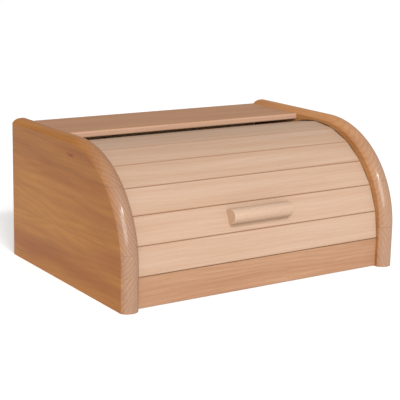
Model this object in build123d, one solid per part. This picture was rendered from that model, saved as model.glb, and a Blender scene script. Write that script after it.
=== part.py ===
"""Roll-top bread bin in beech: a case of boards and a tambour curtain that slides on an arc."""
from build123d import *
import os
from math import cos, radians, sin, sqrt, tan

# Frame: X across the front, +Y to the back, +Z up, in millimetres.
# The origin is the centre of the footprint, on the surface that the bin stands on.

# Driving dimensions
WIDTH = 300.0  # over both sides
DEPTH = 214.0  # front of the sides to the back
HEIGHT = 134.5  # top of the sides
SIDE_THICKNESS = 17.0
SHOULDER_RADIUS = 98.0  # the sides' quarter circle between front and top
CORNER_RADIUS = 5.0  # top back corner of the sides
RIM_RADIUS = 9.5  # roundover of the sides' edge, seen in its section
LEFT_SEAMS = (50.0, 103.0)  # heights of the glue lines between the three boards of the left side
RIGHT_SEAMS = (39.0, 82.5)

# Curtain
AXIS_Z = 28.0  # height of the track's axis, which lies at Y = 0
SLAT_COUNT = 8
SLAT_PITCH = 15.1  # degrees of the track for one slat
SLAT_THICKNESS = 5.0
CLOTH_RADIUS = 93.5  # fold lines of the backing cloth, about the track's axis
CLOTH_THICKNESS = 0.6
CLOTH_WIDTH = 244.0
SLAT_EDGE_EASING = 0.5
SLAT_GAP = 0.15  # between the bevelled flanks of two slats
TENON = 5.4  # how far each slat end runs in its groove
GROOVE_DEPTH = 6.0
GROOVE_PLAY = 0.4
GROOVE_START = -0.6  # degrees up the track from the axis's height, at the front
TRAVEL = 68.0  # degrees that the curtain turns from closed to open

# Boards between the sides
RAIL_THICKNESS = 12.0
RAIL_BOTTOM = 0.6
RAIL_GAP = 0.4  # closed curtain to rail
TOP_BOARD_THICKNESS = 6.0
TOP_BOARD_DROP = 4.5  # below the top of the sides
TOP_BOARD_FRONT = 31.5
TOP_BOARD_NOSE = 1.6
TONGUE = 4.0  # how far the top board's ends run in the sides
TONGUE_SHOULDERS = (6.0, 13.0)  # set back from the board's front and back edges
BACK_THICKNESS = 5.0
BACK_REBATE = 9.0
BACK_BOTTOM = 2.0
BOTTOM_THICKNESS = 6.0
BOTTOM_Z = 2.0
BOTTOM_HOUSING = 4.0  # depth of its grooves in the sides and the rail

# Handle and fasteners
HANDLE_SLAT = 2
HANDLE_LENGTH = 64.0
HANDLE_HEIGHT = 14.0
HANDLE_DEPTH = 12.5
HANDLE_SHIFT = -3.5  # left of the bin's centre
HANDLE_RISE = 0.8  # above the middle of its slat
HANDLE_EASING = 0.9
SCREW_SPACING = 40.0
SCREW_RADIUS = 1.5
SCREW_HEAD_RADIUS = 3.0
SCREW_HEAD_HEIGHT = 1.8
SCREW_BITE = 8.5  # length of screw in the handle
RAIL_DOWEL_RADIUS = 3.0
RAIL_DOWEL_HEIGHTS = (13.0, 21.0)
RAIL_DOWEL_REACH = 11.0
PIN_RADIUS = 0.7
PIN_HEAD_RADIUS = 1.3
PIN_HEAD_HEIGHT = 0.6
PIN_LENGTH = 16.0
PIN_INSET = 7.6  # from the sides' inner faces, past the curtain's grooves
PIN_HEIGHTS = (15.0, 46.0, 77.0, 108.0)

# Derived places
INNER_HALF = WIDTH / 2 - SIDE_THICKNESS
SLAT_INNER = CLOTH_RADIUS * cos(radians(SLAT_PITCH / 2))  # axis to a slat's inner face
SLAT_OUTER = SLAT_INNER + SLAT_THICKNESS
SWEPT_RADIUS = sqrt(SLAT_OUTER**2 + (SLAT_OUTER * tan(radians(SLAT_PITCH / 2))) ** 2)
RAIL_TOP = AXIS_Z - RAIL_GAP
RAIL_FRONT = -SWEPT_RADIUS
TOP_BOARD_TOP = HEIGHT - TOP_BOARD_DROP
TOP_BOARD_BOTTOM = TOP_BOARD_TOP - TOP_BOARD_THICKNESS
BACK_FRONT = DEPTH / 2 - BACK_THICKNESS
GROOVE_END = SLAT_COUNT * SLAT_PITCH + TRAVEL + 0.5
RIM_DEPTH = RIM_RADIUS - sqrt(RIM_RADIUS**2 - (SIDE_THICKNESS / 2) ** 2)


def block(x0, x1, y0, y1, z0, z1):
    """A box from its lowest to its highest corner."""
    return Pos((x0 + x1) / 2, (y0 + y1) / 2, (z0 + z1) / 2) * Box(x1 - x0, y1 - y0, z1 - z0)


def cylinder_x(radius, x0, x1, y, z):
    """A cylinder along X."""
    return Pos((x0 + x1) / 2, y, z) * Rot(0, 90, 0) * Cylinder(radius, x1 - x0)


def group(solids):
    """Separate solids that share one node."""
    return Compound(children=list(solids))


def on_track(slat_number, part):
    """Moves a part made for a slat centred on Y < 0, Z = 0 to the place of that slat."""
    return Pos(0, 0, AXIS_Z) * Rot(-(slat_number - 0.5) * SLAT_PITCH, 0, 0) * part


def side_outline():
    """The path round a side: up the front, over the arc, along the top and down the back."""
    half = DEPTH / 2
    spring = HEIGHT - SHOULDER_RADIUS  # height where the front starts to curve
    crest = SHOULDER_RADIUS - half  # place where the top becomes flat
    bulge = SHOULDER_RADIUS * (1 - sin(radians(45)))
    front = Line((0, -half, 0), (0, -half, spring))
    arc = ThreePointArc((0, -half, spring), (0, bulge - half, HEIGHT - bulge), (0, crest, HEIGHT))
    top = Line((0, crest, HEIGHT), (0, half - CORNER_RADIUS, HEIGHT))
    turn = CORNER_RADIUS * (1 - sin(radians(45)))
    corner_start = (0, half - CORNER_RADIUS, HEIGHT)
    corner_end = (0, half, HEIGHT - CORNER_RADIUS)
    corner = ThreePointArc(corner_start, (0, half - turn, HEIGHT - turn), corner_end)
    back = Line((0, half, HEIGHT - CORNER_RADIUS), (0, half, 0))
    return front, arc, top, corner, back


def rim_waste():
    """What the roundover takes off a front edge, as a section at Z = 0 centred on X = 0."""
    margin = 2.0
    reach = SIDE_THICKNESS / 2 + margin
    crest = -DEPTH / 2
    slab = Pos(0, crest + (RIM_DEPTH - margin) / 2) * Rectangle(2 * reach, RIM_DEPTH + margin)
    return slab - Pos(0, crest + RIM_RADIUS) * Circle(RIM_RADIUS)


def rounded_plate():
    """A side without its joinery, centred on X = 0: the roundover runs off at the back."""
    outline = side_outline()
    foot = Line((0, DEPTH / 2, 0), (0, -DEPTH / 2, 0))
    plate = extrude(make_face([*outline, foot]), SIDE_THICKNESS / 2, both=True)
    front, arc = outline[:2]
    top = Line((0, SHOULDER_RADIUS - DEPTH / 2, HEIGHT), (0, DEPTH / 2 + 1, HEIGHT))
    return plate - sweep(rim_waste(), path=Wire([front, arc, top]))


def track_groove(inner_face, depth):
    """The groove that guides the curtain's ends, cut into a side from its inner face towards +X."""
    low = SLAT_INNER - GROOVE_PLAY
    high = SWEPT_RADIUS + GROOVE_PLAY
    section = Pos(inner_face + depth / 2, -(low + high) / 2) * Rectangle(depth, high - low)
    arc = revolve(section, axis=Axis.X, revolution_arc=GROOVE_START - GROOVE_END)
    return Pos(0, 0, AXIS_Z) * Rot(-GROOVE_START, 0, 0) * arc


def rail_dowels():
    """Dowels between the front rail and the sides, as (Y, Z) places."""
    return [(RAIL_FRONT + RAIL_THICKNESS / 2, z) for z in RAIL_DOWEL_HEIGHTS]


def tongue(x0, x1):
    """The housed end of the top board, between two places across the bin."""
    front, back = TONGUE_SHOULDERS
    y0, y1 = TOP_BOARD_FRONT + front, DEPTH / 2 - back
    return block(x0, x1, y0, y1, TOP_BOARD_BOTTOM, TOP_BOARD_TOP)


def right_side():
    """The right side with its groove, housings and holes."""
    side = Pos(WIDTH / 2 - SIDE_THICKNESS / 2, 0, 0) * rounded_plate()
    side = side - track_groove(INNER_HALF, GROOVE_DEPTH)
    side = side - block(
        INNER_HALF, INNER_HALF + BACK_REBATE, BACK_FRONT, DEPTH, -1, TOP_BOARD_BOTTOM
    )
    side = side - block(
        INNER_HALF,
        INNER_HALF + BOTTOM_HOUSING,
        RAIL_FRONT + RAIL_THICKNESS - BOTTOM_HOUSING,
        BACK_FRONT,
        BOTTOM_Z,
        BOTTOM_Z + BOTTOM_THICKNESS,
    )
    for y, z in rail_dowels():
        side = side - cylinder_x(RAIL_DOWEL_RADIUS, INNER_HALF, INNER_HALF + RAIL_DOWEL_REACH, y, z)
    side = side - tongue(INNER_HALF, INNER_HALF + TONGUE)
    for x, z in pin_places():
        if x > 0:
            side = side - pin_shank(x, z)
    return side


def boards(side, seams):
    """The lower, middle and upper boards of a side, cut apart at its glue lines."""
    far = WIDTH
    heights = (-1.0, *seams, HEIGHT + 1)
    return [side & block(-far, far, -far, far, z0, z1) for z0, z1 in zip(heights, heights[1:])]


def front_rail():
    """The fixed rail under the curtain."""
    rail = block(-INNER_HALF, INNER_HALF, RAIL_FRONT, RAIL_FRONT + RAIL_THICKNESS, RAIL_BOTTOM, RAIL_TOP)
    front_edges = rail.edges().filter_by(Axis.X).sort_by(Axis.Y)[:2]
    rail = fillet(front_edges, SLAT_EDGE_EASING)
    back = RAIL_FRONT + RAIL_THICKNESS
    rail = rail - block(
        -INNER_HALF, INNER_HALF, back - BOTTOM_HOUSING, back + 1, BOTTOM_Z, BOTTOM_Z + BOTTOM_THICKNESS
    )
    for y, z in rail_dowels():
        for end in (-1, 1):
            x0, x1 = sorted((end * INNER_HALF, end * (INNER_HALF - RAIL_DOWEL_REACH)))
            rail = rail - cylinder_x(RAIL_DOWEL_RADIUS, x0, x1, y, z)
    return rail


def top_board():
    """The fixed board behind the curtain's crown, with its front edge rounded."""
    board = block(
        -INNER_HALF, INNER_HALF, TOP_BOARD_FRONT, DEPTH / 2, TOP_BOARD_BOTTOM, TOP_BOARD_TOP
    )
    front_edges = board.edges().filter_by(Axis.X).sort_by(Axis.Y)[:2]
    board = fillet(front_edges, TOP_BOARD_NOSE)
    return board + tongue(-INNER_HALF - TONGUE, INNER_HALF + TONGUE)


def back_panel():
    """The plywood back, pinned into the sides' rebates."""
    half = INNER_HALF + BACK_REBATE
    panel = block(-half, half, BACK_FRONT, DEPTH / 2, BACK_BOTTOM, TOP_BOARD_BOTTOM)
    for x, z in pin_places():
        panel = panel - pin_shank(x, z) - pin_head(x, z)
    return panel


def bottom_panel():
    """The plywood floor, housed in the sides and the rail."""
    half = INNER_HALF + BOTTOM_HOUSING
    front = RAIL_FRONT + RAIL_THICKNESS - BOTTOM_HOUSING
    return block(-half, half, front, BACK_FRONT, BOTTOM_Z, BOTTOM_Z + BOTTOM_THICKNESS)


def pin_places():
    """Where the back's pins go, as (X, Z)."""
    return [(end * (INNER_HALF + PIN_INSET), z) for end in (-1, 1) for z in PIN_HEIGHTS]


def pin_shank(x, z):
    """A pin's shank, driven forwards from the back."""
    return Pos(x, DEPTH / 2 - PIN_LENGTH / 2, z) * Rot(90, 0, 0) * Cylinder(PIN_RADIUS, PIN_LENGTH)


def pin_head(x, z):
    """A pin's head, flush with the back."""
    place = Pos(x, DEPTH / 2 - PIN_HEAD_HEIGHT / 2, z)
    return place * Rot(90, 0, 0) * Cylinder(PIN_HEAD_RADIUS, PIN_HEAD_HEIGHT)


def slat(number):
    """One slat of the curtain, counted up from the rail, with flanks that point at the axis."""
    inner, outer = (r * tan(radians(SLAT_PITCH / 2)) - SLAT_GAP / 2 for r in (SLAT_INNER, SLAT_OUTER))
    corners = [(-SLAT_INNER, -inner), (-SLAT_OUTER, -outer), (-SLAT_OUTER, outer), (-SLAT_INNER, inner)]
    section = Plane.YZ * make_face(Polyline(*corners, close=True))
    body = extrude(section, INNER_HALF + TENON, both=True)
    outer_edges = body.edges().filter_by(Axis.X).sort_by(Axis.Y)[:2]
    body = fillet(outer_edges, SLAT_EDGE_EASING)
    if number == HANDLE_SLAT:
        for screw in screws():
            body = body - screw
    return on_track(number, body)


def cloth():
    """The backing cloth, glued flat to each slat's inner face and folded at each joint."""
    strip = []
    for radius in (CLOTH_RADIUS, CLOTH_RADIUS - CLOTH_THICKNESS):
        row = []
        for joint in range(SLAT_COUNT + 1):
            angle = radians(joint * SLAT_PITCH)
            row.append((0, -radius * cos(angle), AXIS_Z + radius * sin(angle)))
        strip += row if not strip else reversed(row)
    face = make_face(Polyline(*strip, close=True))
    sheet = extrude(face, CLOTH_WIDTH / 2, both=True)
    for screw in screws():
        sheet = sheet - on_track(HANDLE_SLAT, screw)
    return sheet


def screws():
    """The two handle screws, at a slat's own height: each enters from inside the curtain."""
    shapes = []
    for end in (-1, 1):
        x = HANDLE_SHIFT + end * SCREW_SPACING / 2
        inner = -SLAT_INNER + CLOTH_THICKNESS
        tip = -SLAT_OUTER - SCREW_BITE
        forwards = Rot(90, 0, 0)
        shank = forwards * Cylinder(SCREW_RADIUS, inner - tip)
        head = forwards * Cone(SCREW_HEAD_RADIUS, SCREW_RADIUS, SCREW_HEAD_HEIGHT)
        shank = Pos(x, (inner + tip) / 2, HANDLE_RISE) * shank
        head = Pos(x, inner - SCREW_HEAD_HEIGHT / 2, HANDLE_RISE) * head
        shapes.append(shank + head)
    return shapes


def handle():
    """The pull: a bar with a flat back and a half-round front."""
    radius = HANDLE_HEIGHT / 2
    straight = HANDLE_DEPTH - radius
    back = -SLAT_OUTER
    nose = Pos(back - straight, 0) * Circle(radius)
    stock = Pos(back - HANDLE_DEPTH / 2, 0) * Rectangle(HANDLE_DEPTH, HANDLE_HEIGHT)
    section = Pos(back - straight / 2, 0) * Rectangle(straight, HANDLE_HEIGHT) + (nose & stock)
    bar = extrude(Plane.YZ * section, HANDLE_LENGTH / 2, both=True)
    ends = bar.faces().sort_by(Axis.X)
    rims = [e for f in (ends[0], ends[-1]) for e in f.edges() if e.center().Y < back - 0.01]
    bar = Pos(HANDLE_SHIFT, 0, HANDLE_RISE) * fillet(rims, HANDLE_EASING)
    for screw in screws():
        bar = bar - screw
    return on_track(HANDLE_SLAT, bar)


def both_ends(radius, reach, places):
    """Dowels across the joints at both sides' inner faces."""
    return group(
        cylinder_x(radius, end * INNER_HALF - reach, end * INNER_HALF + reach, y, z)
        for end in (-1, 1)
        for y, z in places
    )


def parts():
    """Every node of the bin, by name."""
    right = right_side()
    left = mirror(right, about=Plane.YZ)
    made = {}
    for name, side, seams in (("left", left, LEFT_SEAMS), ("right", right, RIGHT_SEAMS)):
        for place, board in zip(("lower", "middle", "upper"), boards(side, seams)):
            made[f"{name}_side_{place}_board"] = board
    made |= {
        "front_rail": front_rail(),
        "top_board": top_board(),
        "back_panel": back_panel(),
        "bottom_panel": bottom_panel(),
        "rail_dowels": both_ends(RAIL_DOWEL_RADIUS, RAIL_DOWEL_REACH, rail_dowels()),
        "back_panel_pins": group(pin_shank(x, z) + pin_head(x, z) for x, z in pin_places()),
        "curtain_cloth": cloth(),
        "handle": handle(),
        "handle_screws": group(on_track(HANDLE_SLAT, screw) for screw in screws()),
    }
    for number in range(1, SLAT_COUNT + 1):
        made[f"slat_{number}"] = slat(number)
    return made


os.makedirs("parts", exist_ok=True)
for name, shape in parts().items():
    export_step(shape, f"parts/{name}.step")
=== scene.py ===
"""Roll-top bread bin in lacquered beech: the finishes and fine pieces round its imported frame."""

import logging
import math
from dataclasses import dataclass, field
from enum import Enum

import bmesh
import bpy
from mathutils import Matrix, Vector


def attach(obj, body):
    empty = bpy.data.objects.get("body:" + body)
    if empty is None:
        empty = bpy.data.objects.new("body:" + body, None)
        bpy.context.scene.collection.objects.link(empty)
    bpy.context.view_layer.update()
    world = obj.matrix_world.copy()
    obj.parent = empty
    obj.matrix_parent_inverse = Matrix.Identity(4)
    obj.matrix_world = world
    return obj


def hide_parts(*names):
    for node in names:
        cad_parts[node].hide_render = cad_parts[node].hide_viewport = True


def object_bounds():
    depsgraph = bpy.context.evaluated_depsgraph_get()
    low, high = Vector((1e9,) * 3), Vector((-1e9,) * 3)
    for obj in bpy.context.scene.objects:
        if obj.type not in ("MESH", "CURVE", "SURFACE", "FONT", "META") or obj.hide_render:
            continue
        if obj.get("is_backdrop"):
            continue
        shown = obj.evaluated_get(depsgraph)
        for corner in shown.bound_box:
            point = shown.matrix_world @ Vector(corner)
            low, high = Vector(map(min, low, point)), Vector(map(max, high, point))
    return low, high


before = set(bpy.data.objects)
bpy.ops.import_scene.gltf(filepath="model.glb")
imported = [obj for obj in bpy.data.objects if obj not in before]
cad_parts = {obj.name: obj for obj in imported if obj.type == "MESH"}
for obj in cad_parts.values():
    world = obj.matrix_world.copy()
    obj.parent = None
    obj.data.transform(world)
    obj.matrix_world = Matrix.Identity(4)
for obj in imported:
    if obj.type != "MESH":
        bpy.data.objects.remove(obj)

MM = 0.001
log = logging.getLogger("bread_bin")

Colour = tuple[float, float, float, float]
Tree = bpy.types.NodeTree
Socket = bpy.types.NodeSocket


# --- small tools -----------------------------------------------------------------------------


def linear(hex_colour: str) -> Colour:
    """Turns an sRGB hex colour into linear light.

    Args:
        hex_colour: Six hex digits with a leading hash.

    Returns:
        Red, green, blue and an alpha of 1.
    """
    parts = [int(hex_colour[i : i + 2], 16) / 255 for i in (1, 3, 5)]
    red, green, blue = (c / 12.92 if c <= 0.04045 else ((c + 0.055) / 1.055) ** 2.4 for c in parts)
    return red, green, blue, 1.0


def add_node(tree: Tree, kind: str, inputs: dict | None = None, **settings) -> bpy.types.Node:
    """Adds a node to a tree with its settings, values and links.

    Args:
        tree: The tree that gets the node.
        kind: The node's type name.
        inputs: By input name or number, either a value or the output socket that feeds it.
        **settings: The node's own properties.

    Returns:
        The new node.
    """
    node = tree.nodes.new(kind)
    for key, value in settings.items():
        setattr(node, key, value)
    for key, value in (inputs or {}).items():
        if isinstance(value, Socket):
            tree.links.new(value, node.inputs[key])
        else:
            node.inputs[key].default_value = value
    return node


def new_material(name: str) -> tuple[bpy.types.Material, Tree]:
    """Makes a material with an empty node tree.

    Args:
        name: The material's real name.

    Returns:
        The material and its tree.
    """
    material = bpy.data.materials.new(name)
    material.use_nodes = True
    material.node_tree.nodes.clear()
    return material, material.node_tree


def new_growth(name: str, **inputs: str) -> tuple[Tree, bpy.types.Node]:
    """Makes a Geometry Nodes tree with named inputs and one geometry output.

    Args:
        name: The tree's name.
        **inputs: Each input's kind, such as Float or Int, by its name.

    Returns:
        The tree and the node that gives its inputs.
    """
    tree = bpy.data.node_groups.new(name, "GeometryNodeTree")
    for label, kind in inputs.items():
        tree.interface.new_socket(label, in_out="INPUT", socket_type=f"NodeSocket{kind}")
    tree.interface.new_socket("Geometry", in_out="OUTPUT", socket_type="NodeSocketGeometry")
    return tree, add_node(tree, "NodeGroupInput")


def grow(name: str, tree: Tree, **values: object) -> bpy.types.Object:
    """Runs a Geometry Nodes tree once and keeps its result as a plain mesh.

    Args:
        name: The new piece's name.
        tree: The tree to run.
        **values: The value of each of its inputs, by name.

    Returns:
        The piece, without a modifier.
    """
    piece = bpy.data.objects.new(name, bpy.data.meshes.new(name))
    bpy.context.scene.collection.objects.link(piece)
    modifier = piece.modifiers.new("growth", "NODES")
    modifier.node_group = tree
    for socket in tree.interface.items_tree:
        if socket.in_out == "INPUT":
            modifier[socket.identifier] = values[socket.name]
    grown = piece.evaluated_get(bpy.context.evaluated_depsgraph_get())
    mesh = bpy.data.meshes.new_from_object(grown)
    piece.modifiers.clear()
    piece.data = mesh
    piece.data.name = name
    return piece


def shade(piece: bpy.types.Object, sharp_degrees: float = 35.0) -> None:
    """Shades a piece smooth, but for edges that turn by more than an angle."""
    piece.data.shade_smooth()
    piece.data.set_sharp_from_angle(angle=math.radians(sharp_degrees))


def dress(piece: bpy.types.Object, material: bpy.types.Material) -> None:
    """Gives a piece one material."""
    piece.data.materials.clear()
    piece.data.materials.append(material)


# --- finishes --------------------------------------------------------------------------------


class Grain(Enum):
    """Which way a board's fibres run, as the order (across, through, along) of its axes."""

    FRONT_TO_BACK = ("Z", "X", "Y")
    SIDE_TO_SIDE = ("Z", "Y", "X")
    SIDE_TO_SIDE_FLAT = ("Y", "Z", "X")


@dataclass(frozen=True)
class Beech:
    """European beech, planed, sanded and lacquered.

    Faint annual rings about the tree's middle, soft warm and pale bands, thin fibres and short
    dark rays. Cut across, the rings show as clear lines. The satin coat lies smooth over it all.
    """

    name: str
    pale: str
    warm: str
    ring: str
    ray: str = "#7A4C2C"
    grain: Grain = Grain.SIDE_TO_SIDE
    sawn_attribute: str = ""
    edge_attribute: str = ""
    edge_mm: float = 0.0  # from a slat's middle to its edges
    pith_mm: tuple[float, float] = (40.0, 70.0)
    ring_mm: float = 3.4
    ring_unevenness: float = 1.3  # reach of the rings' small wobble, in rings
    ring_share: float = 0.16
    end_ring_share: float = 0.5
    end: str = "#7A5236"
    end_share: float = 0.12
    end_from: float = 0.3  # how squarely the fibres are cut, or the face meets the painted-light axis, where the end's colour starts
    end_full: float = 0.8  # and where it is whole
    painted_light_axis: str = ""  # faces across this axis take the end's colour as painted light, in place of the faces across the fibres
    fibre_share: float = 0.16
    ray_share: float = 0.2
    band_mm: float = 16.0
    wander_mm: float = 26.0
    band_reach: float = 0.7
    joint_shade: str = "#7A4A2A"  # painted shade along a slat's edges, where the joints between slats fall dark
    joint_shade_mm: float = 1.3
    joint_shade_share: float = 0.5
    seams_mm: tuple[float, ...] = ()
    glue: str = "#6E4526"
    glue_share: float = 0.28
    glue_mm: tuple[float, float] = (0.15, 0.6)  # off a seam, where its line starts and stops fading
    knot: str = "#6A2210"
    knot_share: float = 0.85
    knot_shape: tuple[float, float, float] = (0.3, 0.0, 0.07)  # how fast it ends, per millimetre
    knot_mm: tuple[float, float] | None = None
    tone: float = 1.0  # how light it is against its neighbours
    specular: float = 0.1
    coat: float = 0.03
    coat_roughness: float = 0.22
    roughness: float = 0.5

    def place(self, tree: Tree) -> Socket:
        """Finds the point in the wood.

        Args:
            tree: The material's tree.

        Returns:
            The point in millimetres, as (across, through, along) the fibres.
        """
        if self.sawn_attribute:
            sawn = add_node(tree, "ShaderNodeAttribute", attribute_name=self.sawn_attribute)
            where = sawn.outputs["Vector"]
        else:
            where = add_node(tree, "ShaderNodeTexCoord").outputs["Object"]
        scaled = add_node(tree, "ShaderNodeVectorMath", {0: where, "Scale": 1 / MM}, operation="SCALE")
        split = add_node(tree, "ShaderNodeSeparateXYZ", {0: scaled.outputs[0]})
        across, through, along = (split.outputs[axis] for axis in self.grain.value)
        return add_node(tree, "ShaderNodeCombineXYZ", {0: across, 1: through, 2: along}).outputs[0]

    @staticmethod
    def noise(tree: Tree, place: Socket, across_mm: float, along_mm: float, detail: float) -> Socket:
        """Makes a noise that is drawn out along the fibres.

        Args:
            tree: The material's tree.
            place: The point in the wood.
            across_mm: The size of its grain across the fibres.
            along_mm: The size of its grain along the fibres.
            detail: How many octaves it has.

        Returns:
            The noise's level, about 0.5.
        """
        stretch = (1 / across_mm, 1 / across_mm, 1 / along_mm)
        drawn = add_node(tree, "ShaderNodeVectorMath", {0: place, 1: stretch}, operation="MULTIPLY")
        settings = {"Vector": drawn.outputs[0], "Scale": 1.0, "Detail": detail, "Roughness": 0.55}
        return add_node(tree, "ShaderNodeTexNoise", settings).outputs["Fac"]

    def rings(self, tree: Tree, place: Socket) -> Socket:
        """Draws the annual rings about the pith.

        Args:
            tree: The material's tree.
            place: The point in the wood.

        Returns:
            How far into the dark late wood a point is, from 0 to 1.
        """
        flat = add_node(tree, "ShaderNodeVectorMath", {0: place, 1: (1.0, 1.0, 0.0)}, operation="MULTIPLY")
        from_pith = {0: flat.outputs[0], 1: (*self.pith_mm, 0.0)}
        from_pith = add_node(tree, "ShaderNodeVectorMath", from_pith, operation="SUBTRACT").outputs[0]
        radius = add_node(tree, "ShaderNodeVectorMath", {0: from_pith}, operation="LENGTH")
        wander = self.noise(tree, place, across_mm=80.0, along_mm=240.0, detail=2.0)
        uneven = self.noise(tree, place, across_mm=12.0, along_mm=110.0, detail=2.0)
        bent = {0: wander, 1: self.wander_mm, 2: radius.outputs["Value"]}
        bent = add_node(tree, "ShaderNodeMath", bent, operation="MULTIPLY_ADD").outputs[0]
        bent = {0: uneven, 1: self.ring_mm * self.ring_unevenness, 2: bent}
        bent = add_node(tree, "ShaderNodeMath", bent, operation="MULTIPLY_ADD").outputs[0]
        turns = {0: bent, 1: 1 / self.ring_mm}
        turns = add_node(tree, "ShaderNodeMath", turns, operation="MULTIPLY").outputs[0]
        phase = add_node(tree, "ShaderNodeMath", {0: turns}, operation="FRACT").outputs[0]
        ramp = add_node(tree, "ShaderNodeValToRGB", {0: phase})
        ramp.color_ramp.interpolation = "EASE"
        stops = ramp.color_ramp.elements
        # A year's wood starts pale, darkens slowly and ends in the thin late wood.
        year_end, pale_from, darker_from, late_wood = 0.6, (0.16, 0.0), (0.55, 0.12), (0.88, 1.0)
        stops[0].color = stops[1].color = (year_end, year_end, year_end, 1)
        for position, level in (pale_from, darker_from, late_wood):
            stops.new(position).color = (level, level, level, 1)
        return ramp.outputs["Color"]

    def end_grain_and_lit_face(self, tree: Tree) -> Socket:
        """Finds how squarely the surface cuts across the fibres, or faces the axis of the painted light.

        Args:
            tree: The material's tree.

        Returns:
            The share of the end's colour, from 0 to 1.
        """
        normal = add_node(tree, "ShaderNodeTexCoord").outputs["Normal"]
        end_colour_axis = self.painted_light_axis or self.grain.value[2]
        along = add_node(tree, "ShaderNodeSeparateXYZ", {0: normal}).outputs[end_colour_axis]
        facing = add_node(tree, "ShaderNodeMath", {0: along}, operation="ABSOLUTE").outputs[0]
        reach = {"Value": facing, "From Min": self.end_from, "From Max": self.end_full}
        return add_node(tree, "ShaderNodeMapRange", reach).outputs[0]

    def marks(self, tree: Tree, place: Socket, colour: Socket) -> Socket:
        """Adds the glue lines between boards, painted shade along a slat's edges at the joints, and a small
        knot.

        Args:
            tree: The material's tree.
            place: The point in the wood.
            colour: The wood's colour so far.

        Returns:
            The wood's colour with its marks.
        """
        across = add_node(tree, "ShaderNodeSeparateXYZ", {0: place}).outputs[0]
        for seam in self.seams_mm:
            off = add_node(tree, "ShaderNodeMath", {0: across, 1: seam}, operation="SUBTRACT").outputs[0]
            off = add_node(tree, "ShaderNodeMath", {0: off}, operation="ABSOLUTE").outputs[0]
            reach = {"Value": off, "From Min": self.glue_mm[0], "From Max": self.glue_mm[1]}
            reach |= {"To Min": self.glue_share, "To Max": 0.0}
            line = add_node(tree, "ShaderNodeMapRange", reach).outputs[0]
            shares = {0: line, 6: colour, 7: linear(self.glue)}
            colour = add_node(tree, "ShaderNodeMix", shares, data_type="RGBA").outputs[2]
        # Painted shade: a slat's edges are darkened where the joints between slats fall in shade.
        if self.edge_attribute:
            height = add_node(tree, "ShaderNodeAttribute", attribute_name=self.edge_attribute).outputs["Fac"]
            height = add_node(tree, "ShaderNodeMath", {0: height}, operation="ABSOLUTE").outputs[0]
            start, end = (self.edge_mm - self.joint_shade_mm) * MM, self.edge_mm * MM
            reach = {"Value": height, "From Min": start, "From Max": end, "To Max": self.joint_shade_share}
            joint_shaded = add_node(tree, "ShaderNodeMapRange", reach).outputs[0]
            shares = {0: joint_shaded, 6: colour, 7: linear(self.joint_shade)}
            colour = add_node(tree, "ShaderNodeMix", shares, data_type="RGBA").outputs[2]
        if self.knot_mm:
            height, depth = self.knot_mm
            middle = (height, 0.0, depth)
            off = add_node(tree, "ShaderNodeVectorMath", {0: place, 1: middle}, operation="SUBTRACT")
            off = {0: off.outputs[0], 1: self.knot_shape}
            off = add_node(tree, "ShaderNodeVectorMath", off, operation="MULTIPLY").outputs[0]
            length = add_node(tree, "ShaderNodeVectorMath", {0: off}, operation="LENGTH").outputs["Value"]
            ragged = self.noise(tree, place, across_mm=1.6, along_mm=2.4, detail=3.0)
            edge = add_node(tree, "ShaderNodeMath", {0: length, 1: ragged}, operation="ADD").outputs[0]
            reach = {"Value": edge, "From Min": 0.55, "From Max": 1.15}
            reach |= {"To Min": self.knot_share, "To Max": 0.0}
            spot = add_node(tree, "ShaderNodeMapRange", reach).outputs[0]
            shares = {0: spot, 6: colour, 7: linear(self.knot)}
            colour = add_node(tree, "ShaderNodeMix", shares, data_type="RGBA").outputs[2]
        return colour

    def toned(self, hex_colour: str) -> Colour:
        """Gives one of the wood's colours, made lighter or darker by the board's tone."""
        return (*(level * self.tone for level in linear(hex_colour)[:3]), 1.0)

    def build(self) -> bpy.types.Material:
        """Makes the material.

        Returns:
            The lacquered wood.
        """
        material, tree = new_material(self.name)
        place = self.place(tree)
        ring = self.rings(tree, place)
        band = self.noise(tree, place, across_mm=self.band_mm, along_mm=210.0, detail=3.0)
        fibre = self.noise(tree, place, across_mm=1.0, along_mm=42.0, detail=2.0)
        ray = self.noise(tree, place, across_mm=0.7, along_mm=4.0, detail=1.0)
        end = self.end_grain_and_lit_face(tree)

        half = self.band_reach / 2
        banded = {"Value": band, "From Min": 0.5 - half, "From Max": 0.5 + half}
        banded = add_node(tree, "ShaderNodeMapRange", banded, interpolation_type="SMOOTHSTEP").outputs[0]
        shares = {0: banded, 6: self.toned(self.pale), 7: self.toned(self.warm)}
        colour = add_node(tree, "ShaderNodeMix", shares, data_type="RGBA").outputs[2]

        lines = {"Value": end, "To Min": self.ring_share, "To Max": self.end_ring_share}
        lines = add_node(tree, "ShaderNodeMapRange", lines).outputs[0]
        lines = add_node(tree, "ShaderNodeMath", {0: ring, 1: lines}, operation="MULTIPLY").outputs[0]
        streak = {"Value": fibre, "From Min": 0.3, "From Max": 0.75, "To Max": self.fibre_share}
        streak = add_node(tree, "ShaderNodeMapRange", streak).outputs[0]
        fleck = {"Value": ray, "From Min": 0.58, "From Max": 0.72, "To Max": self.ray_share}
        fleck = add_node(tree, "ShaderNodeMapRange", fleck).outputs[0]
        cut = add_node(tree, "ShaderNodeMath", {0: end, 1: self.end_share}, operation="MULTIPLY").outputs[0]
        layers = ((cut, self.end), (lines, self.ring), (streak, self.ring), (fleck, self.ray))
        for share, layer in layers:
            shares = {0: share, 6: colour, 7: linear(layer)}
            colour = add_node(tree, "ShaderNodeMix", shares, data_type="RGBA").outputs[2]
        colour = self.marks(tree, place, colour)

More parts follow.
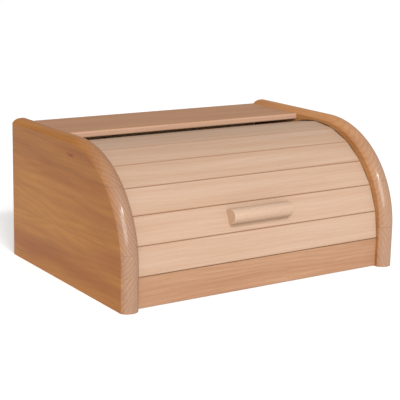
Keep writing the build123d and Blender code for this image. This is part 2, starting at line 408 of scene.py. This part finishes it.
        relief = add_node(tree, "ShaderNodeMath", {0: fibre, 1: fleck}, operation="SUBTRACT")
        bump = {"Height": relief.outputs[0], "Strength": 0.1, "Distance": 0.1 * MM}
        bump = add_node(tree, "ShaderNodeBump", bump).outputs[0]
        gloss = {"Value": fibre, "To Min": self.roughness - 0.05, "To Max": self.roughness + 0.08}
        gloss = add_node(tree, "ShaderNodeMapRange", gloss).outputs[0]
        surface = {
            "Base Color": colour,
            "Roughness": gloss,
            "Normal": bump,
            "IOR": 1.5,
            "Specular IOR Level": self.specular,
            "Coat Weight": self.coat,
            "Coat Roughness": self.coat_roughness,
            "Coat IOR": 1.5,
        }
        shader = add_node(tree, "ShaderNodeBsdfPrincipled", surface)
        add_node(tree, "ShaderNodeOutputMaterial", {"Surface": shader.outputs[0]})
        return material


@dataclass(frozen=True)
class Plywood:
    """Beech-faced plywood, sanded and bare.

    Broad, wavy figure from the rotary-cut veneer, open pores, a dull surface, and dark and light
    plies in turn along its edges.
    """

    name: str
    through: str  # axis through the panel
    ply_mm: float = 1.25
    pale: str = "#D9B587"
    warm: str = "#C4986A"
    cross_ply: str = "#96683F"
    figure_mm: tuple[float, float, float] = (150.0, 34.0, 34.0)
    pore_mm: tuple[float, float, float] = (9.0, 0.8, 0.8)
    contours: float = 16.0  # lines of figure over the noise's whole range

    def build(self) -> bpy.types.Material:
        """Makes the material.

        Returns:
            The plywood, with its plies on the edges.
        """
        material, tree = new_material(self.name)
        coordinates = add_node(tree, "ShaderNodeTexCoord")
        place = {0: coordinates.outputs["Object"], "Scale": 1 / MM}
        place = add_node(tree, "ShaderNodeVectorMath", place, operation="SCALE").outputs[0]
        drawn, fine = (
            add_node(
                tree,
                "ShaderNodeVectorMath",
                {0: place, 1: tuple(1 / size for size in sizes)},
                operation="MULTIPLY",
            ).outputs[0]
            for sizes in (self.figure_mm, self.pore_mm)
        )
        figure = {"Vector": drawn, "Scale": 1.0, "Detail": 2.0, "Distortion": 0.6}
        figure = add_node(tree, "ShaderNodeTexNoise", figure).outputs["Fac"]
        contour = add_node(tree, "ShaderNodeMath", {0: figure, 1: self.contours}, operation="MULTIPLY")
        contour = add_node(tree, "ShaderNodeMath", {0: contour.outputs[0]}, operation="FRACT").outputs[0]
        pores = {"Vector": fine, "Scale": 1.0, "Detail": 2.0}
        pores = add_node(tree, "ShaderNodeTexNoise", pores).outputs["Fac"]
        share = add_node(tree, "ShaderNodeMath", {0: contour, 1: pores}, operation="MULTIPLY").outputs[0]
        shares = {0: share, 6: linear(self.pale), 7: linear(self.warm)}
        face = add_node(tree, "ShaderNodeMix", shares, data_type="RGBA").outputs[2]

        depth = add_node(tree, "ShaderNodeSeparateXYZ", {0: place}).outputs[self.through]
        layer = add_node(tree, "ShaderNodeMath", {0: depth, 1: 0.5 / self.ply_mm}, operation="MULTIPLY")
        layer = add_node(tree, "ShaderNodeMath", {0: layer.outputs[0]}, operation="FRACT").outputs[0]
        layer = add_node(tree, "ShaderNodeMath", {0: layer, 1: 0.5}, operation="GREATER_THAN").outputs[0]
        facing = add_node(tree, "ShaderNodeSeparateXYZ", {0: coordinates.outputs["Normal"]})
        facing = facing.outputs[self.through]
        facing = add_node(tree, "ShaderNodeMath", {0: facing}, operation="ABSOLUTE").outputs[0]
        edge = add_node(tree, "ShaderNodeMath", {0: facing, 1: 0.5}, operation="LESS_THAN").outputs[0]
        dark = add_node(tree, "ShaderNodeMath", {0: edge, 1: layer}, operation="MULTIPLY").outputs[0]
        shares = {0: dark, 6: face, 7: linear(self.cross_ply)}
        colour = add_node(tree, "ShaderNodeMix", shares, data_type="RGBA").outputs[2]
        bump = {"Height": pores, "Strength": 0.25, "Distance": 0.15 * MM}
        bump = add_node(tree, "ShaderNodeBump", bump).outputs[0]
        gloss = {"Value": pores, "To Min": 0.62, "To Max": 0.8}
        gloss = add_node(tree, "ShaderNodeMapRange", gloss).outputs[0]
        surface = {"Base Color": colour, "Roughness": gloss, "Normal": bump, "IOR": 1.5}
        shader = add_node(tree, "ShaderNodeBsdfPrincipled", surface)
        add_node(tree, "ShaderNodeOutputMaterial", {"Surface": shader.outputs[0]})
        return material


@dataclass(frozen=True)
class CottonCanvas:
    """Plain-woven unbleached cotton canvas.

    Warp and weft threads cross over and under each other and cast tiny shadows between them. The
    threads are drawn 1.1 mm apart, twice as coarse as the real ones, so that the weave shows.
    """

    name: str = "cotton_canvas"
    thread_mm: float = 1.1
    thread: str = "#D8CDB2"
    shadow: str = "#9C8E70"

    def build(self) -> bpy.types.Material:
        """Makes the material, which reads the cloth's own UV map in metres.

        Returns:
            The woven canvas.
        """
        material, tree = new_material(self.name)
        uv = add_node(tree, "ShaderNodeUVMap", uv_map="cloth")
        turns = {0: uv.outputs[0], "Scale": math.pi / (self.thread_mm * MM)}
        turns = add_node(tree, "ShaderNodeVectorMath", turns, operation="SCALE").outputs[0]
        split = add_node(tree, "ShaderNodeSeparateXYZ", {0: turns})
        warp, weft = (
            add_node(tree, "ShaderNodeMath", {0: split.outputs[axis]}, operation="SINE").outputs[0]
            for axis in "XY"
        )
        weave = add_node(tree, "ShaderNodeMath", {0: warp, 1: weft}, operation="MULTIPLY").outputs[0]
        height = add_node(tree, "ShaderNodeMath", {0: weave}, operation="ABSOLUTE").outputs[0]
        slub = {"Vector": uv.outputs[0], "Scale": 160.0, "Detail": 3.0}
        slub = add_node(tree, "ShaderNodeTexNoise", slub).outputs["Fac"]
        lit = add_node(tree, "ShaderNodeMath", {0: height, 1: slub}, operation="MULTIPLY")
        reach = {"Value": lit.outputs[0], "From Max": 0.45}
        lit = add_node(tree, "ShaderNodeMapRange", reach).outputs[0]
        shares = {0: lit, 6: linear(self.shadow), 7: linear(self.thread)}
        colour = add_node(tree, "ShaderNodeMix", shares, data_type="RGBA").outputs[2]
        bump = {"Height": height, "Strength": 0.6, "Distance": 0.2 * MM}
        bump = add_node(tree, "ShaderNodeBump", bump).outputs[0]
        surface = {"Base Color": colour, "Roughness": 0.9, "Normal": bump, "IOR": 1.5, "Sheen Weight": 0.25}
        shader = add_node(tree, "ShaderNodeBsdfPrincipled", surface)
        add_node(tree, "ShaderNodeOutputMaterial", {"Surface": shader.outputs[0]})
        return material


@dataclass(frozen=True)
class Steel:
    """Carbon steel wire, cold headed and then plated or left bright: fine marks in a dull shine."""

    name: str
    colour: str = "#C6C3BB"
    stain: str = "#8F8C84"
    roughness: float = 0.34

    def build(self) -> bpy.types.Material:
        """Makes the material.

        Returns:
            The marked steel.
        """
        material, tree = new_material(self.name)
        where = add_node(tree, "ShaderNodeTexCoord").outputs["Object"]
        mark = {"Vector": where, "Scale": 900.0, "Detail": 4.0}
        mark = add_node(tree, "ShaderNodeTexNoise", mark).outputs["Fac"]
        shares = {0: mark, 6: linear(self.colour), 7: linear(self.stain)}
        colour = add_node(tree, "ShaderNodeMix", shares, data_type="RGBA").outputs[2]
        gloss = {"Value": mark, "To Min": self.roughness - 0.08, "To Max": self.roughness + 0.14}
        gloss = add_node(tree, "ShaderNodeMapRange", gloss).outputs[0]
        bump = {"Height": mark, "Strength": 0.15, "Distance": 0.05 * MM}
        bump = add_node(tree, "ShaderNodeBump", bump).outputs[0]
        surface = {"Base Color": colour, "Roughness": gloss, "Normal": bump, "Metallic": 1.0}
        shader = add_node(tree, "ShaderNodeBsdfPrincipled", surface)
        add_node(tree, "ShaderNodeOutputMaterial", {"Surface": shader.outputs[0]})
        return material


# --- fasteners -------------------------------------------------------------------------------


@dataclass
class Fasteners:
    """A grid of equal screws or pins, all driven the same way.

    The tree builds one fastener along -Z with the outside of its head at Z = 0, cuts a cross
    recess in it where it has one, and sets it on every point of a grid.
    """

    name: str
    finish: Steel
    across: int
    up: int
    across_mm: float
    up_mm: float
    head_mm: float  # radius of the head's outside
    neck_mm: float  # radius of the head where it meets the shank
    head_height_mm: float
    shank_mm: float  # radius
    length_mm: float  # with the head
    recess_mm: float = 0.0  # reach of the cross from the middle, or none
    arm_share: float = 0.45  # width of the cross's arms, against that reach
    head_sides: int = 32
    shank_sides: int = 24

    def tree(self) -> Tree:
        """Makes the Geometry Nodes tree of the whole grid.

        Returns:
            The tree, with every size as an input.
        """
        floats = "Across Up Head Neck Head_height Shank Length Recess".split()
        kinds = {"Columns": "Int", "Rows": "Int"} | dict.fromkeys(floats, "Float") | {"Material": "Material"}
        tree, given = new_growth(f"{self.name}_tree", **kinds)
        take = given.outputs
        head = {"Vertices": self.head_sides, "Depth": take["Head_height"]}
        head |= {"Radius Top": take["Head"], "Radius Bottom": take["Neck"]}
        head = add_node(tree, "GeometryNodeMeshCone", head).outputs["Mesh"]
        drop = {0: take["Head_height"], 1: -1.0}
        drop = add_node(tree, "ShaderNodeMath", drop, operation="MULTIPLY").outputs[0]
        down = add_node(tree, "ShaderNodeCombineXYZ", {2: drop}).outputs[0]
        head = add_node(tree, "GeometryNodeTransform", {"Geometry": head, "Translation": down}).outputs[0]
        middle = {0: take["Length"], 1: -0.5}
        middle = add_node(tree, "ShaderNodeMath", middle, operation="MULTIPLY").outputs[0]
        start = add_node(tree, "ShaderNodeMath", {0: drop, 1: 0.25}, operation="MULTIPLY").outputs[0]
        centre = add_node(tree, "ShaderNodeMath", {0: middle, 1: start}, operation="ADD").outputs[0]
        half_head = add_node(tree, "ShaderNodeMath", {0: drop, 1: 0.5}, operation="MULTIPLY").outputs[0]
        span = add_node(tree, "ShaderNodeMath", {0: take["Length"], 1: half_head}, operation="ADD").outputs[0]
        shank = {"Vertices": self.shank_sides, "Radius": take["Shank"], "Depth": span}
        shank = add_node(tree, "GeometryNodeMeshCylinder", shank).outputs["Mesh"]
        away = add_node(tree, "ShaderNodeCombineXYZ", {2: centre}).outputs[0]
        shank = add_node(tree, "GeometryNodeTransform", {"Geometry": shank, "Translation": away}).outputs[0]
        body = add_node(tree, "GeometryNodeMeshBoolean", operation="UNION")
        tree.links.new(head, body.inputs["Mesh 2"])
        tree.links.new(shank, body.inputs["Mesh 2"])
        body = body.outputs["Mesh"]

        reach = add_node(tree, "ShaderNodeMath", {0: take["Recess"], 1: 2.0}, operation="MULTIPLY").outputs[0]
        thin = {0: take["Recess"], 1: self.arm_share}
        thin = add_node(tree, "ShaderNodeMath", thin, operation="MULTIPLY").outputs[0]
        cutter = add_node(tree, "GeometryNodeMeshBoolean", {"Mesh 1": body}, operation="DIFFERENCE")
        for sizes in ({0: reach, 1: thin, 2: reach}, {0: thin, 1: reach, 2: reach}):
            arm = add_node(tree, "ShaderNodeCombineXYZ", sizes).outputs[0]
            arm = add_node(tree, "GeometryNodeMeshCube", {"Size": arm}).outputs["Mesh"]
            tree.links.new(arm, cutter.inputs["Mesh 2"])
        crossed = {0: take["Recess"], 1: 0.0}
        crossed = add_node(tree, "FunctionNodeCompare", crossed, operation="GREATER_THAN", data_type="FLOAT")
        choice = {"Switch": crossed.outputs[0], "False": body, "True": cutter.outputs["Mesh"]}
        one = add_node(tree, "GeometryNodeSwitch", choice, input_type="GEOMETRY").outputs[0]

        grid = {
            "Size X": take["Across"],
            "Size Y": take["Up"],
            "Vertices X": take["Columns"],
            "Vertices Y": take["Rows"],
        }
        grid = add_node(tree, "GeometryNodeMeshGrid", grid).outputs["Mesh"]
        points = add_node(tree, "GeometryNodeMeshToPoints", {"Mesh": grid}).outputs[0]
        placed = {"Points": points, "Instance": one}
        placed = add_node(tree, "GeometryNodeInstanceOnPoints", placed).outputs[0]
        real = add_node(tree, "GeometryNodeRealizeInstances", {"Geometry": placed}).outputs[0]
        done = {"Geometry": real, "Material": take["Material"]}
        done = add_node(tree, "GeometryNodeSetMaterial", done).outputs[0]
        add_node(tree, "NodeGroupOutput", {0: done})
        return tree

    def build(self, pose: Matrix) -> bpy.types.Object:
        """Builds the grid.

        Args:
            pose: Where the grid's middle goes and how it is turned.

        Returns:
            The dressed piece.
        """
        piece = grow(
            self.name,
            self.tree(),
            Columns=self.across,
            Rows=self.up,
            Across=self.across_mm * MM,
            Up=self.up_mm * MM,
            Head=self.head_mm * MM,
            Neck=self.neck_mm * MM,
            Head_height=self.head_height_mm * MM,
            Shank=self.shank_mm * MM,
            Length=self.length_mm * MM,
            Recess=self.recess_mm * MM,
            Material=self.finish.build(),
        )
        piece.data.transform(pose)
        shade(piece)
        return piece


# --- curtain ---------------------------------------------------------------------------------


@dataclass
class Curtain:
    """The tambour: eight slats glued to canvas, with the handle and its screws."""

    slats: int = 8
    pitch_degrees: float = 15.1
    axis_height_mm: float = 28.0
    fold_radius_mm: float = 93.5
    slat_thickness_mm: float = 5.0
    slat_length_mm: float = 276.8
    slat_easing_mm: float = 0.5
    slat_gap_mm: float = 0.15
    cloth_width_mm: float = 244.0
    cloth_thickness_mm: float = 0.6
    handle_slat: int = 2
    handle_shift_mm: float = -3.5
    handle_rise_mm: float = 0.8
    seed: int = 5
    plank_spread_m: tuple[float, float, float] = (0.5, 0.03, 0.5)  # where in the plank slats are sawn
    slat_beech: Beech = Beech(
        "beech_slats",
        pale="#A68E7B",
        warm="#9E816B",
        ring="#89684F",
        sawn_attribute="sawn_place",
        edge_attribute="slat_height",
        pith_mm=(20.0, -140.0),
        ring_share=0.1,
        ray_share=0.1,
        band_mm=7.0,
        edge_mm=12.9,
        specular=0.04,
        coat=0.0,
    )
    handle_beech: Beech = Beech(
        "beech_handle",
        pale="#AA917D",
        warm="#9C816B",
        ring="#846650",
        pith_mm=(70.0, -150.0),
        ring_share=0.06,
        end_ring_share=0.12,
        end="#C3A284",
        end_share=0.7,
    )
    canvas: CottonCanvas = CottonCanvas()
    screw_steel: Steel = Steel("zinc_plated_steel")

    def slat_tree(self) -> Tree:
        """Makes the Geometry Nodes tree of all the slats.

        Each slat is a bar whose flanks point at the track's axis, with its outer edges eased. Two
        attributes go with it: its place in the plank that it was sawn from, and the height on it.
        The row of slats stands round the axis.

        Returns:
            The tree, with every size as an input.
        """
        store, read = "GeometryNodeStoreNamedAttribute", "GeometryNodeInputNamedAttribute"
        floats = "Pitch Radius Inner_width Outer_width Thickness Length Easing Axis_height".split()
        kinds = {"Count": "Int", "Seed": "Int"} | dict.fromkeys(floats, "Float") | {"Material": "Material"}
        tree, given = new_growth("slat_tree", **kinds)
        take = given.outputs
        outline = {"Height": take["Thickness"], "Offset": 0.0}
        outline |= {"Bottom Width": take["Outer_width"], "Top Width": take["Inner_width"]}
        outline = add_node(tree, "GeometryNodeCurvePrimitiveQuadrilateral", outline, mode="TRAPEZOID")
        corner = add_node(tree, "GeometryNodeInputPosition").outputs[0]
        side = add_node(tree, "ShaderNodeSeparateXYZ", {0: corner}).outputs["Y"]
        outside = add_node(tree, "ShaderNodeMath", {0: side, 1: 0.0}, operation="LESS_THAN").outputs[0]
        easing = {0: outside, 1: take["Easing"]}
        easing = add_node(tree, "ShaderNodeMath", easing, operation="MULTIPLY").outputs[0]
        eased = {"Curve": outline.outputs[0], "Count": 5, "Radius": easing, "Limit Radius": True}
        eased = add_node(tree, "GeometryNodeFilletCurve", eased, mode="POLY").outputs[0]
        half = add_node(tree, "ShaderNodeMath", {0: take["Length"], 1: 0.5}, operation="MULTIPLY").outputs[0]
        ways = [{0: (0.0, 0.0, way), "Scale": half} for way in (-1.0, 1.0)]
        start, end = (
            add_node(tree, "ShaderNodeVectorMath", way, operation="SCALE").outputs[0] for way in ways
        )
        line = add_node(tree, "GeometryNodeCurvePrimitiveLine", {"Start": start, "End": end}).outputs[0]
        bar = {"Curve": line, "Profile Curve": eased, "Fill Caps": True}
        bar = add_node(tree, "GeometryNodeCurveToMesh", bar).outputs[0]
        lying = {"Geometry": bar, "Rotation": (0.0, math.radians(90), 0.0)}
        lying = add_node(tree, "GeometryNodeTransform", lying).outputs[0]

        sawn = add_node(tree, "GeometryNodeInputPosition").outputs[0]
        marked = {"Geometry": lying, "Name": "sawn_place", "Value": sawn}
        marked = add_node(tree, store, marked, data_type="FLOAT_VECTOR").outputs[0]
        height = add_node(tree, "ShaderNodeSeparateXYZ", {0: sawn}).outputs["Z"]
        edged = {"Geometry": marked, "Name": "slat_height", "Value": height}
        marked = add_node(tree, store, edged, data_type="FLOAT").outputs[0]
        depth = {0: take["Thickness"], 1: 0.5}
        depth = add_node(tree, "ShaderNodeMath", depth, operation="MULTIPLY").outputs[0]
        out = add_node(tree, "ShaderNodeMath", {0: take["Radius"], 1: depth}, operation="ADD").outputs[0]
        out = add_node(tree, "ShaderNodeMath", {0: out, 1: -1.0}, operation="MULTIPLY").outputs[0]
        forward = add_node(tree, "ShaderNodeCombineXYZ", {1: out}).outputs[0]
        ready = {"Geometry": marked, "Translation": forward}
        ready = add_node(tree, "GeometryNodeTransform", ready).outputs[0]

        row = add_node(tree, "GeometryNodePoints", {"Count": take["Count"]}).outputs[0]
        number = add_node(tree, "GeometryNodeInputIndex").outputs[0]
        joint = add_node(tree, "ShaderNodeMath", {0: number, 1: 0.5}, operation="ADD").outputs[0]
        turn = add_node(tree, "ShaderNodeMath", {0: joint, 1: take["Pitch"]}, operation="MULTIPLY").outputs[0]
        turn = add_node(tree, "ShaderNodeMath", {0: turn, 1: -1.0}, operation="MULTIPLY").outputs[0]
        turn = add_node(tree, "ShaderNodeCombineXYZ", {0: turn}).outputs[0]
        turn = add_node(tree, "FunctionNodeEulerToRotation", {0: turn}).outputs[0]
        placed = {"Points": row, "Instance": ready, "Rotation": turn}
        placed = add_node(tree, "GeometryNodeInstanceOnPoints", placed).outputs[0]
        far = self.plank_spread_m
        place = {0: tuple(-reach for reach in far), 1: far, "Seed": take["Seed"]}
        place = add_node(tree, "FunctionNodeRandomValue", place, data_type="FLOAT_VECTOR").outputs[0]
        plank = {"Geometry": placed, "Name": "plank_place", "Value": place}
        plank = add_node(tree, store, plank, data_type="FLOAT_VECTOR", domain="INSTANCE").outputs[0]
        real = add_node(tree, "GeometryNodeRealizeInstances", {"Geometry": plank}).outputs[0]
        local, origin = (
            add_node(tree, read, {"Name": label}, data_type="FLOAT_VECTOR").outputs[0]
            for label in ("sawn_place", "plank_place")
        )
        whole = add_node(tree, "ShaderNodeVectorMath", {0: local, 1: origin}, operation="ADD").outputs[0]
        final = {"Geometry": real, "Name": "sawn_place", "Value": whole}
        final = add_node(tree, store, final, data_type="FLOAT_VECTOR").outputs[0]
        rise = add_node(tree, "ShaderNodeCombineXYZ", {2: take["Axis_height"]}).outputs[0]
        raised = add_node(tree, "GeometryNodeTransform", {"Geometry": final, "Translation": rise}).outputs[0]
        done = {"Geometry": raised, "Material": take["Material"]}
        done = add_node(tree, "GeometryNodeSetMaterial", done).outputs[0]
        add_node(tree, "NodeGroupOutput", {0: done})
        return tree

    def build_slats(self) -> bpy.types.Object:
        """Builds the row of slats that shows in place of the plain ones.

        Returns:
            All the slats, as one piece.
        """
        half_pitch = math.radians(self.pitch_degrees / 2)
        radius = self.fold_radius_mm * math.cos(half_pitch)
        inner, outer = (
            2 * r * math.tan(half_pitch) - self.slat_gap_mm for r in (radius, radius + self.slat_thickness_mm)
        )
        slats = grow(
            "curtain_slats",
            self.slat_tree(),
            Count=self.slats,
            Seed=self.seed,
            Pitch=math.radians(self.pitch_degrees),
            Radius=radius * MM,
            Inner_width=inner * MM,
            Outer_width=outer * MM,
            Thickness=self.slat_thickness_mm * MM,
            Length=self.slat_length_mm * MM,
            Easing=self.slat_easing_mm * MM,
            Axis_height=self.axis_height_mm * MM,
            Material=self.slat_beech.build(),
        )
        shade(slats)
        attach(slats, "curtain")
        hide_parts(*(f"slat_{number}" for number in range(1, self.slats + 1)))
        return slats

    def build_cloth(self) -> bpy.types.Object:
        """Builds the canvas, glued flat inside each slat and folded at each joint.


        Returns:
            The cloth.
        """
        outer = self.fold_radius_mm
        inner = outer - self.cloth_thickness_mm
        half = self.cloth_width_mm / 2
        mesh = bmesh.new()
        uv = mesh.loops.layers.uv.new("cloth")
        fold = 2 * inner * math.sin(math.radians(self.pitch_degrees / 2))
        rows = []
        for joint in range(self.slats + 1):
            angle = math.radians(joint * self.pitch_degrees)
            corners = []
            for x, radius in ((-half, outer), (half, outer), (half, inner), (-half, inner)):
                y, z = -radius * math.cos(angle), self.axis_height_mm + radius * math.sin(angle)
                corners.append(mesh.verts.new(Vector((x, y, z)) * MM))
            rows.append(corners)
        faces = [mesh.faces.new(rows[0]), mesh.faces.new(reversed(rows[-1]))]
        for low, high in zip(rows, rows[1:]):
            for corner in range(4):
                after = (corner + 1) % 4
                faces.append(mesh.faces.new((low[corner], high[corner], high[after], low[after])))
        height = {vertex: number * fold * MM for number, row in enumerate(rows) for vertex in row}
        for face in faces:
            for loop in face.loops:
                loop[uv].uv = (loop.vert.co.x, height[loop.vert])
        bmesh.ops.recalc_face_normals(mesh, faces=mesh.faces)
        cloth = bpy.data.objects.new("canvas_backing", bpy.data.meshes.new("canvas_backing"))
        mesh.to_mesh(cloth.data)
        mesh.free()
        bpy.context.scene.collection.objects.link(cloth)
        dress(cloth, self.canvas.build())
        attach(cloth, "curtain")
        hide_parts("curtain_cloth")
        return cloth

    def build_screws(self) -> bpy.types.Object:
        """Builds the two screws that hold the handle from inside.

        Returns:
            Both screws, as one piece.
        """
        screws = Fasteners(
            "handle_screw_pair",
            self.screw_steel,
            across=2,
            up=1,
            across_mm=40.0,
            up_mm=0.0,
            head_mm=3.0,
            neck_mm=1.5,
            head_height_mm=1.8,
            shank_mm=1.5,
            length_mm=14.1,
            recess_mm=1.5,
        )
        radius = self.fold_radius_mm * math.cos(math.radians(self.pitch_degrees / 2))
        depth = radius - self.cloth_thickness_mm
        turn = math.radians((self.handle_slat - 0.5) * self.pitch_degrees)
        place = Vector((self.handle_shift_mm, -depth, self.handle_rise_mm)) * MM
        pose = (
            Matrix.Translation((0.0, 0.0, self.axis_height_mm * MM))
            @ Matrix.Rotation(-turn, 4, "X")
            @ Matrix.Translation(place)
            @ Matrix.Rotation(math.radians(-90), 4, "X")
        )
        pair = screws.build(pose)
        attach(pair, "curtain")
        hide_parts("handle_screws")
        return pair

    def build(self) -> None:
        """Builds and dresses every piece that slides."""
        slats = self.build_slats()
        cloth = self.build_cloth()
        screws = self.build_screws()
        dress(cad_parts["handle"], self.handle_beech.build())
        for piece in (slats, cloth, screws):
            log.info("%s: %d faces", piece.name, len(piece.data.polygons))


# --- case ------------------------------------------------------------------------------------


@dataclass
class Case:
    """The fixed boards: two glued-up sides, rail, top, back and bottom."""

    depth_mm: float = 214.0
    left_seams_mm: tuple[float, float] = (50.0, 103.0)
    right_seams_mm: tuple[float, float] = (39.0, 82.5)
    pin_steel: Steel = Steel("bright_steel", colour="#BDBAB2")
    pin_sink_mm: float = 0.02
    pins_height_mm: float = 61.5  # of the middle of their grid
    left_colours: tuple[str, str, str] = ("#AA702C", "#8F521A", "#6E3D18")
    right_colours: tuple[str, str, str] = ("#B37F50", "#996537", "#7C4C2A")
    boards: dict[str, Beech] = field(default_factory=dict)

    def __post_init__(self) -> None:
        """Chooses the wood of each board."""
        piths = {"lower": (-95.0, -60.0), "middle": (180.0, -75.0), "upper": (60.0, 190.0)}
        tones = {"left": (0.96, 0.95, 0.86), "right": (0.96, 0.98, 1.0)}
        sides = (
            ("left", -1, self.left_seams_mm, self.left_colours),
            ("right", 1, self.right_seams_mm, self.right_colours),
        )
        for hand, outwards, seams, (pale, warm, ring) in sides:
            for (level, (height, side)), tone in zip(piths.items(), tones[hand]):
                self.boards[f"{hand}_side_{level}_board"] = Beech(
                    f"beech_{hand}_{level}",
                    pale=pale,
                    warm=warm,
                    ring=ring,
                    grain=Grain.FRONT_TO_BACK,
                    pith_mm=(height, outwards * side),
                    tone=tone,
                    fibre_share=0.3,
                    band_mm=20.0,
                    band_reach=0.46,
                    end="#8D7665",
                    end_share=0.85,
                    end_from=0.0,
                    end_ring_share=0.3,
                    ring_mm=3.0,
                    seams_mm=seams,
                    specular=0.06,
                    coat=0.3,
                    coat_roughness=0.15,
                    knot_mm=(119.0, -12.0) if (hand, level) == ("left", "upper") else None,
                )
        self.boards["front_rail"] = Beech(
            "beech_rail",
            pale="#9E7C61",
            warm="#906A51",
            ring="#6E462C",
            pith_mm=(-40.0, -170.0),
            ring_mm=3.0,
            fibre_share=0.3,
        )
        self.boards["top_board"] = Beech(
            "beech_top",
            pale="#A27857",
            warm="#986C4C",
            ring="#866045",
            grain=Grain.SIDE_TO_SIDE_FLAT,
            pith_mm=(30.0, -40.0),
            ring_share=0.12,
            # Painted light: the front and back edges take this paler colour, as the front edge catches the
            # light.
            end="#AA8F7E",
            end_share=0.6,
            end_ring_share=0.1,
            painted_light_axis="Y",
        )
        dowels = Beech("beech_dowels", pale="#D9B48A", warm="#CBA077", ring="#A87B52", coat=0.0)
        self.boards["rail_dowels"] = dowels

    def build_pins(self) -> bpy.types.Object:
        """Builds the pins that hold the back.

        Returns:
            All eight pins, as one piece.
        """
        pins = Fasteners(
            "back_panel_pin_rows",
            self.pin_steel,
            across=2,
            up=4,
            across_mm=281.2,
            up_mm=93.0,
            head_mm=1.3,
            neck_mm=1.3,
            head_height_mm=0.6,
            shank_mm=0.7,
            length_mm=16.0,
        )
        middle = Vector((0.0, self.depth_mm / 2 - self.pin_sink_mm, self.pins_height_mm)) * MM
        rows = pins.build(Matrix.Translation(middle) @ Matrix.Rotation(math.radians(-90), 4, "X"))
        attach(rows, "case")
        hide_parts("back_panel_pins")
        return rows

    def build(self) -> None:
        """Dresses the boards and builds the pins."""
        for name, wood in self.boards.items():
            dress(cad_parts[name], wood.build())
            log.info("%s: %s", name, wood.name)
        dress(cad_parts["back_panel"], Plywood("beech_plywood_back", through="Y").build())
        dress(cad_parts["bottom_panel"], Plywood("beech_plywood_bottom", through="Z").build())
        pins = self.build_pins()
        log.info("%s: %d faces", pins.name, len(pins.data.polygons))


# --- studio ----------------------------------------------------------------------------------


@dataclass
class Lamp:
    """One soft light, aimed at the bin: a far one that lights all evenly, or a near disk."""

    name: str
    azimuth: float  # degrees to the right of straight in front
    elevation: float
    energy: float  # watts per square metre of a far lamp, or watts of a near one
    softness: float  # degrees across a far lamp, or metres across a near one
    distance_m: float = 0.0  # none for a far lamp

    def build(self) -> None:
        """Hangs the lamp."""
        near = self.distance_m > 0
        lamp = bpy.data.objects.new(self.name, bpy.data.lights.new(self.name, "AREA" if near else "SUN"))
        lamp.data.energy = self.energy
        if near:
            lamp.data.shape = "DISK"
            lamp.data.size = self.softness
        else:
            lamp.data.angle = math.radians(self.softness)
        azimuth, elevation = math.radians(self.azimuth), math.radians(self.elevation)
        level = Vector((math.sin(azimuth), -math.cos(azimuth), 0.0)) * math.cos(elevation)
        towards = level + Vector((0.0, 0.0, math.sin(elevation)))
        turn = towards.to_track_quat("Z", "Y").to_matrix().to_4x4()
        lamp.matrix_world = Matrix.Translation(towards * self.distance_m) @ turn
        bpy.context.scene.collection.objects.link(lamp)


@dataclass
class Studio:
    """A plain pale floor in plain soft light."""

    floor_half_m: float = 8.0
    floor_colour: str = "#FCFCFC"
    sky: float = 0.57
    lamps: tuple[Lamp, ...] = (
        Lamp("front_light", azimuth=-22.0, elevation=26.0, energy=3.4, softness=35.0),
        Lamp("softbox", azimuth=-8.0, elevation=43.0, energy=16.0, softness=0.2, distance_m=2.2),
    )

    def build(self) -> None:
        """Lays the floor, lights the sky and hangs the lamps."""
        mesh = bpy.data.meshes.new("floor")
        half = self.floor_half_m
        corners = [(-half, -half, 0), (half, -half, 0), (half, half, 0), (-half, half, 0)]
        mesh.from_pydata(corners, [], [(0, 1, 2, 3)])
        floor = bpy.data.objects.new("floor", mesh)
        bpy.context.scene.collection.objects.link(floor)
        material, tree = new_material("matt_paper")
        surface = {"Base Color": linear(self.floor_colour), "Roughness": 0.85}
        shader = add_node(tree, "ShaderNodeBsdfPrincipled", surface)
        add_node(tree, "ShaderNodeOutputMaterial", {"Surface": shader.outputs[0]})
        dress(floor, material)
        floor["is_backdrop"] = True
        world = bpy.data.worlds.new("studio")
        world.use_nodes = True
        world.node_tree.nodes["Background"].inputs["Color"].default_value = (1.0, 1.0, 1.0, 1.0)
        world.node_tree.nodes["Background"].inputs["Strength"].default_value = self.sky
        bpy.context.scene.world = world
        for lamp in self.lamps:
            lamp.build()
        bpy.context.scene.view_settings.view_transform = "Standard"
        log.info("studio: floor and %d lamps", len(self.lamps))


@dataclass
class Viewpoint:
    """The camera, from the left and a little above."""

    from_middle_m: tuple[float, float, float] = (-0.6118, -0.905, 0.2489)
    yaw: float = 33.84
    pitch: float = 13.22
    roll: float = 1.28
    lens_mm: float = 105.26

    def build(self, middle: Vector) -> None:
        """Sets the camera up.

        Args:
            middle: The middle of the bin's box.
        """
        yaw, pitch, roll = (math.radians(angle) for angle in (self.yaw, self.pitch, self.roll))
        forward = Vector((math.sin(yaw) * math.cos(pitch), math.cos(yaw) * math.cos(pitch), -math.sin(pitch)))
        level = Vector((math.cos(yaw), -math.sin(yaw), 0.0))
        upright = level.cross(forward)
        right = math.cos(roll) * level + math.sin(roll) * upright
        up = math.cos(roll) * upright - math.sin(roll) * level
        camera = bpy.data.objects.new("camera", bpy.data.cameras.new("camera"))
        camera.data.lens = self.lens_mm
        turn = Matrix((right, up, -forward)).transposed().to_4x4()
        camera.matrix_world = Matrix.Translation(middle + Vector(self.from_middle_m)) @ turn
        bpy.context.scene.collection.objects.link(camera)
        bpy.context.scene.camera = camera
        log.info("camera: %.0f mm lens", self.lens_mm)


def main() -> None:
    """Builds the bin's looks and the scene round it."""
    logging.basicConfig(level=logging.INFO, format="%(message)s")
    cad_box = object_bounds()
    Case().build()
    Curtain().build()
    Studio().build()
    Viewpoint().build((Vector(cad_box[0]) + Vector(cad_box[1])) / 2)


if __name__ == "__main__":
    main()
